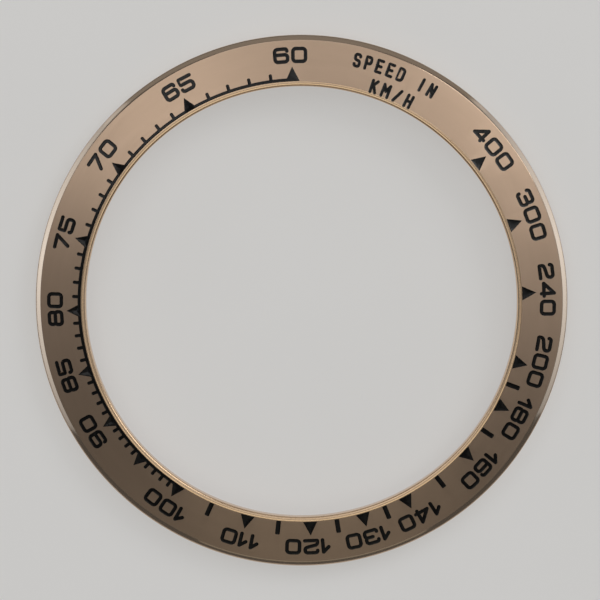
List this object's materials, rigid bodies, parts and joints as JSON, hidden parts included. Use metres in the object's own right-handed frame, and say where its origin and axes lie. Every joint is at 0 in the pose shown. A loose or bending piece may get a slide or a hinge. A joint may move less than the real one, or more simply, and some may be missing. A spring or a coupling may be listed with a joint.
{
  "type": "watch bezel",
  "caption": "Fixed tachymeter bezel ring for a chronograph: sloping satin face, polished lip and rim, scale engraved and filled with black lacquer.",
  "frame": {"origin": "on the ring's axis in the plane of the seat, under the middle of the bore", "axes": "+Z along the axis, out of the engraved face; +Y towards the 60 mark; +X towards the mark at a quarter turn clockwise, 240"},
  "size_m": [0.0388, 0.0388, 0.0027],
  "materials": {
    "rose_gold": "satin on the sloping face, brushed round the axis; polished on the rim chamfer, lip, walls and bore",
    "black_lacquer": "glossy black lacquer, its surface a little below the metal"
  },
  "bodies": {
    "root": {"bezel_ring": "rose_gold", "scale_60_to_100": "black_lacquer", "triangle_110": "black_lacquer", "triangle_120": "black_lacquer", "triangle_130": "black_lacquer", "triangle_140": "black_lacquer", "triangle_160": "black_lacquer", "triangle_180": "black_lacquer", "triangle_200": "black_lacquer", "triangle_240": "black_lacquer", "triangle_300": "black_lacquer", "triangle_400": "black_lacquer", "bar_105": "black_lacquer", "bar_115": "black_lacquer", "bar_125": "black_lacquer", "bar_135": "black_lacquer", "bar_150": "black_lacquer", "bar_170": "black_lacquer", "bar_190": "black_lacquer"}
  },
  "joints": []
}
